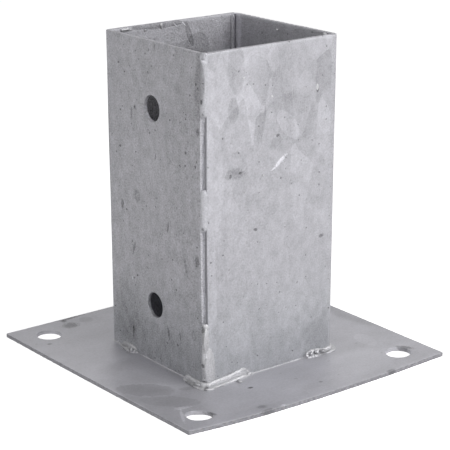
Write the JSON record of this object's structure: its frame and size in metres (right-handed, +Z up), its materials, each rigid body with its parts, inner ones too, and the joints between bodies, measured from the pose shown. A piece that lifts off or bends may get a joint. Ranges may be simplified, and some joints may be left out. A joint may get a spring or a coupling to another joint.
{
  "type": "timber post base",
  "caption": "Square sheet-steel sleeve welded upright on a square base plate, galvanised, to hold a timber post and bolt it down to concrete.",
  "frame": {"origin": "middle of the base plate's underside", "axes": "+Z up along the sleeve; the bolt holes run along X; the welded front corner of the sleeve points to -X and -Y"},
  "size_m": [0.15, 0.15, 0.154],
  "materials": {
    "zinc_plate": "hot-dip galvanised, matt, mottled and stained",
    "zinc_sleeve": "hot-dip galvanised, dull spangle, specked",
    "zinc_weld": "lumpy weld bead under bright zinc"
  },
  "bodies": {
    "root": {"base_plate": "zinc_plate", "sleeve_angle_left": "zinc_sleeve", "sleeve_angle_right": "zinc_sleeve", "front_seam_weld_lower": "zinc_weld", "front_seam_weld_middle": "zinc_weld", "front_seam_weld_upper": "zinc_weld", "rear_seam_weld_lower": "zinc_weld", "rear_seam_weld_middle": "zinc_weld", "rear_seam_weld_upper": "zinc_weld", "foot_weld_front": "zinc_weld", "foot_weld_left": "zinc_weld", "foot_weld_right": "zinc_weld", "foot_weld_rear": "zinc_weld"}
  },
  "joints": []
}
